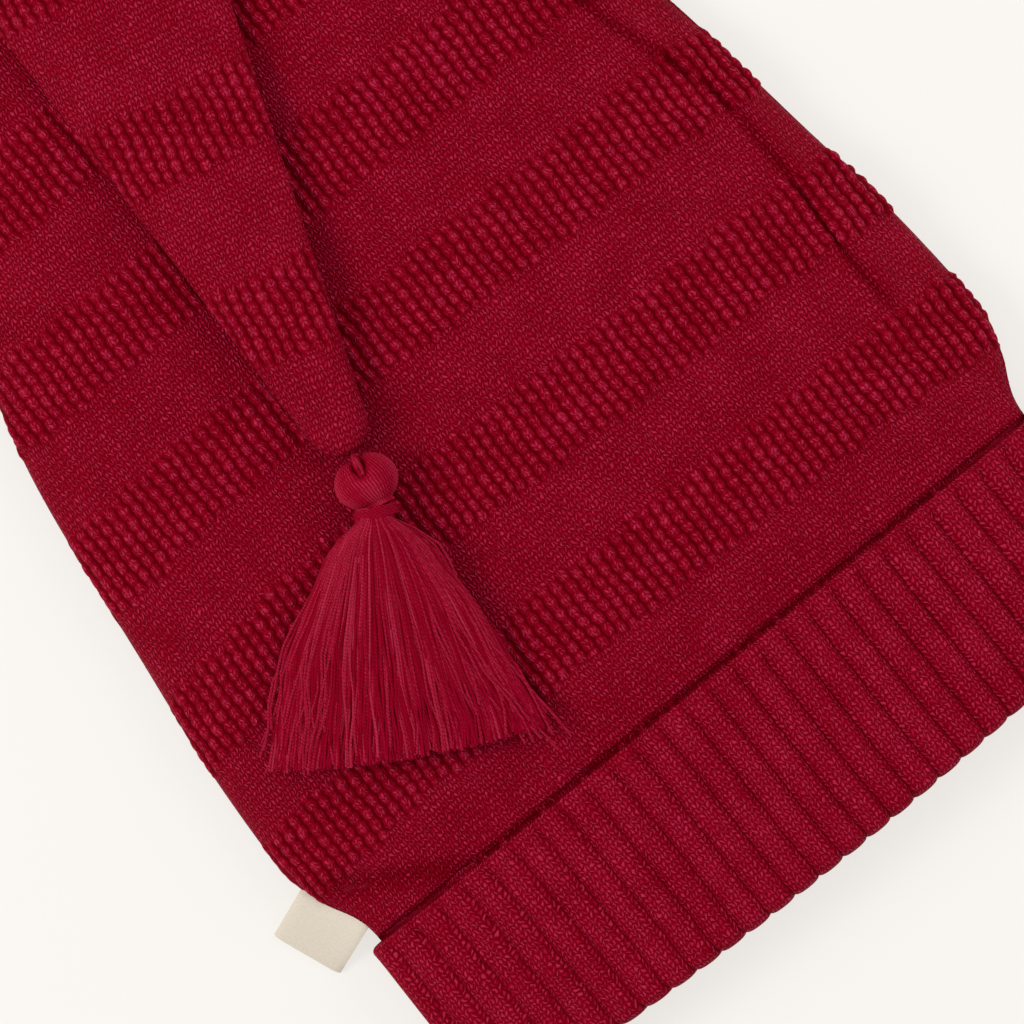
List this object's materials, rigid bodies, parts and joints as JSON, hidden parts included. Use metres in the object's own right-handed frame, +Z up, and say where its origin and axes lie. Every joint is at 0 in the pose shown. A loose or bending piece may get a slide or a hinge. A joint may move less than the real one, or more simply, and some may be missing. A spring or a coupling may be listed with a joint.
{
  "type": "knitted stocking cap with tassel",
  "caption": "Knitted stocking cap for a small child, lying flat, with a striped crown, a long tip folded over the front, a tassel, a turned-up ribbed cuff and a bare side tab.",
  "frame": {"origin": "on the flat rear of the crown, on the cap's middle line, where it rests on the surface, 102.3 mm above the cuff's upper edge", "axes": "+X along the cuff to the right as seen from the front, +Y from the hem towards the fold, +Z up out of the surface that the cap lies on, through its front"},
  "size_m": [0.229, 0.3149, 0.0288],
  "materials": {
    "knit": "crimson cotton knit in stripes of stocking stitch and raised bumps, matt",
    "rib_knit": "crimson cotton rib knit, three columns and a groove, matt",
    "label_cotton": "undyed woven cotton tape, matt",
    "tassel_yarn": "crimson mercerised embroidery thread, soft sheen"
  },
  "bodies": {
    "root": {"crown": "knit", "cuff": "rib_knit", "label": "label_cotton", "tassel": "tassel_yarn", "tassel_tie": "tassel_yarn"}
  },
  "joints": []
}
